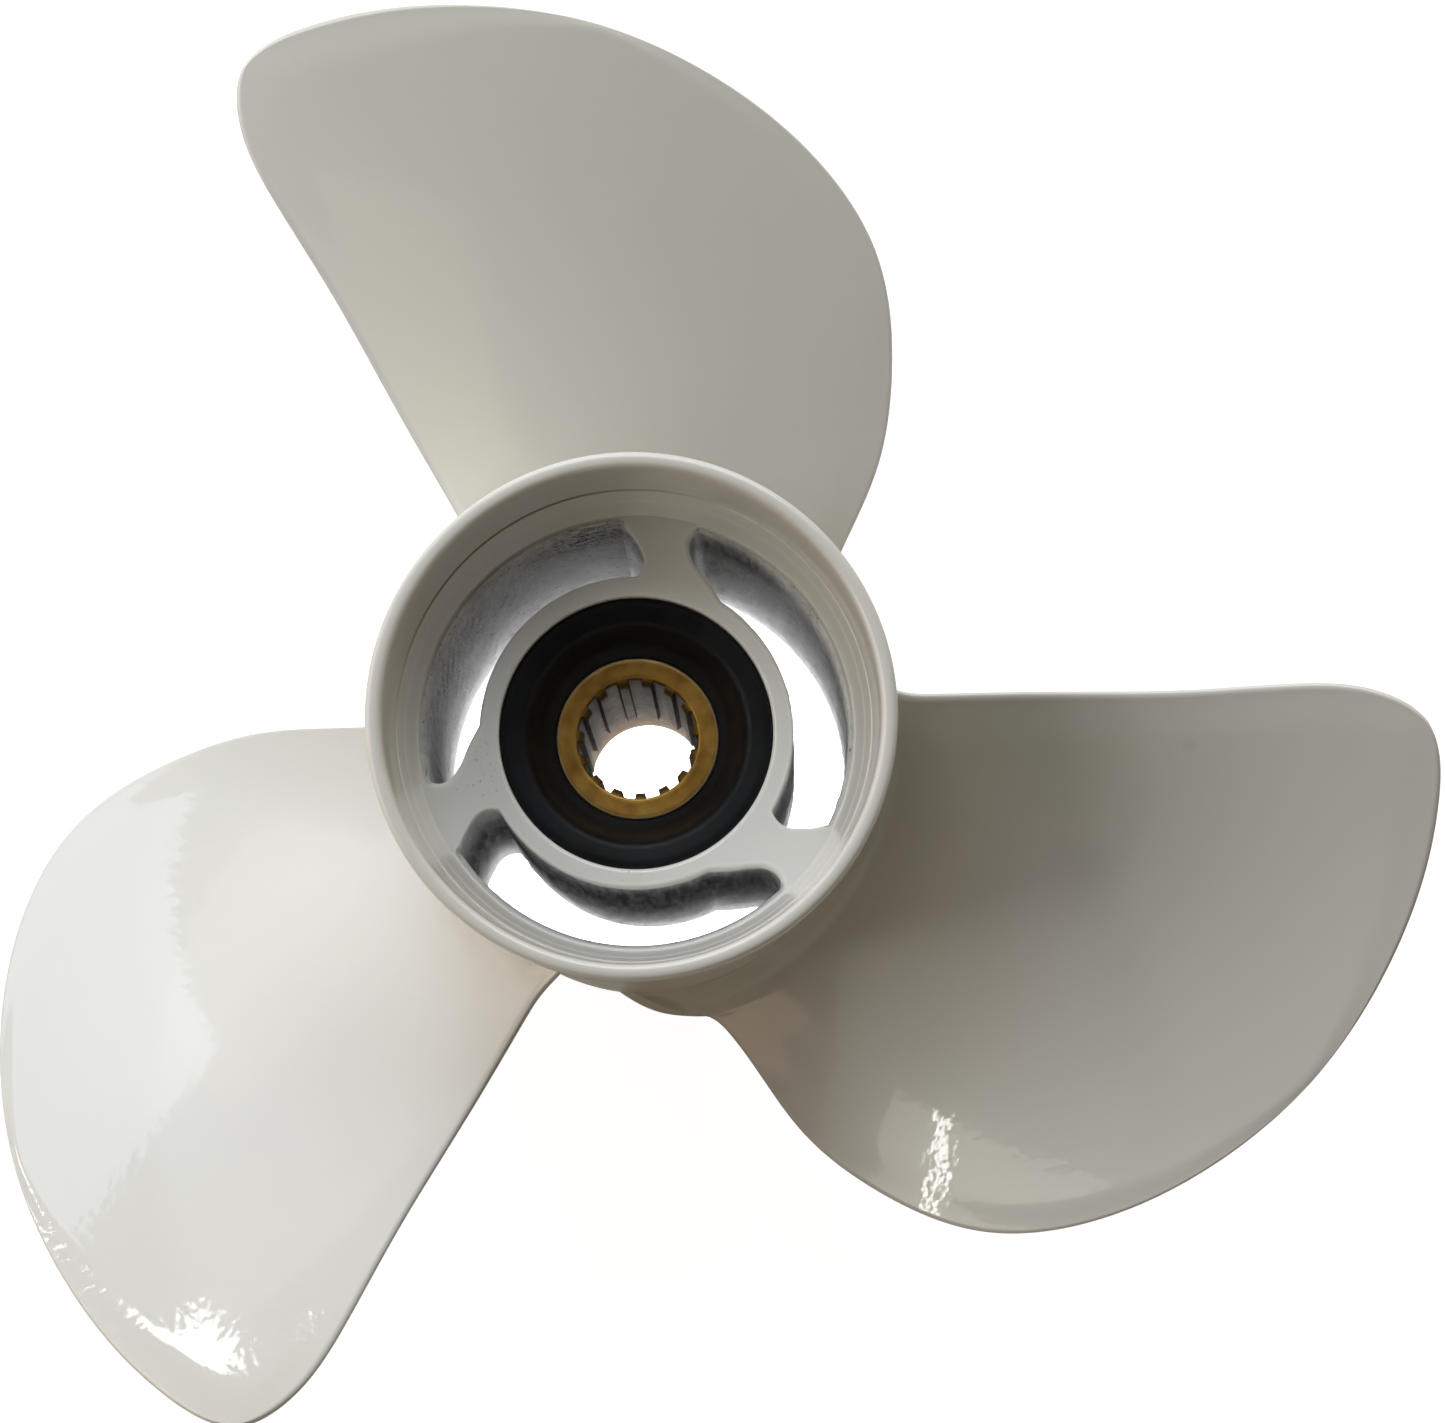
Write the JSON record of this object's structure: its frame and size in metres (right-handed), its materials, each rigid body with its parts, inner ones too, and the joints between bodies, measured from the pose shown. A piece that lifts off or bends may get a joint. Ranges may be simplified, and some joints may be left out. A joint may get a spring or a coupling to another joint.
{
  "type": "boat propeller",
  "caption": "Right-hand boat propeller: broad curved blades on a barrel hub with exhaust ports, a rubber bush and a splined brass sleeve for an outboard's shaft.",
  "frame": {"origin": "on the shaft axis, in the plane of the hub's front rim", "axes": "+Z along the shaft axis towards the aft end of the hub, +Y towards the first blade, +X to its right seen from aft"},
  "size_m": [0.3082, 0.3071, 0.1276],
  "materials": {
    "white_enamel": "gloss off-white enamel over cast aluminium",
    "black_rubber": "semi-gloss moulded",
    "sleeve_brass": "turned, slightly tarnished"
  },
  "bodies": {
    "sleeve": {"splined_sleeve": "sleeve_brass"},
    "bush": {"rubber_bush": "black_rubber"},
    "casting": {"hub_casting": "white_enamel", "blade_1": "white_enamel", "blade_2": "white_enamel", "blade_3": "white_enamel"}
  },
  "joints": [
    {"name": "rubber_windup", "type": "hinge", "parent": "sleeve", "child": "bush", "pos_m": [0, 0, 0.05], "axis": [0, 0, 1], "range_deg": [-10, 10], "stiffness_Nm_per_rad": 1000},
    {"name": "hub_slip", "type": "hinge", "parent": "bush", "child": "casting", "pos_m": [0, 0, 0.05], "axis": [0, 0, 1], "continuous": true}
  ]
}
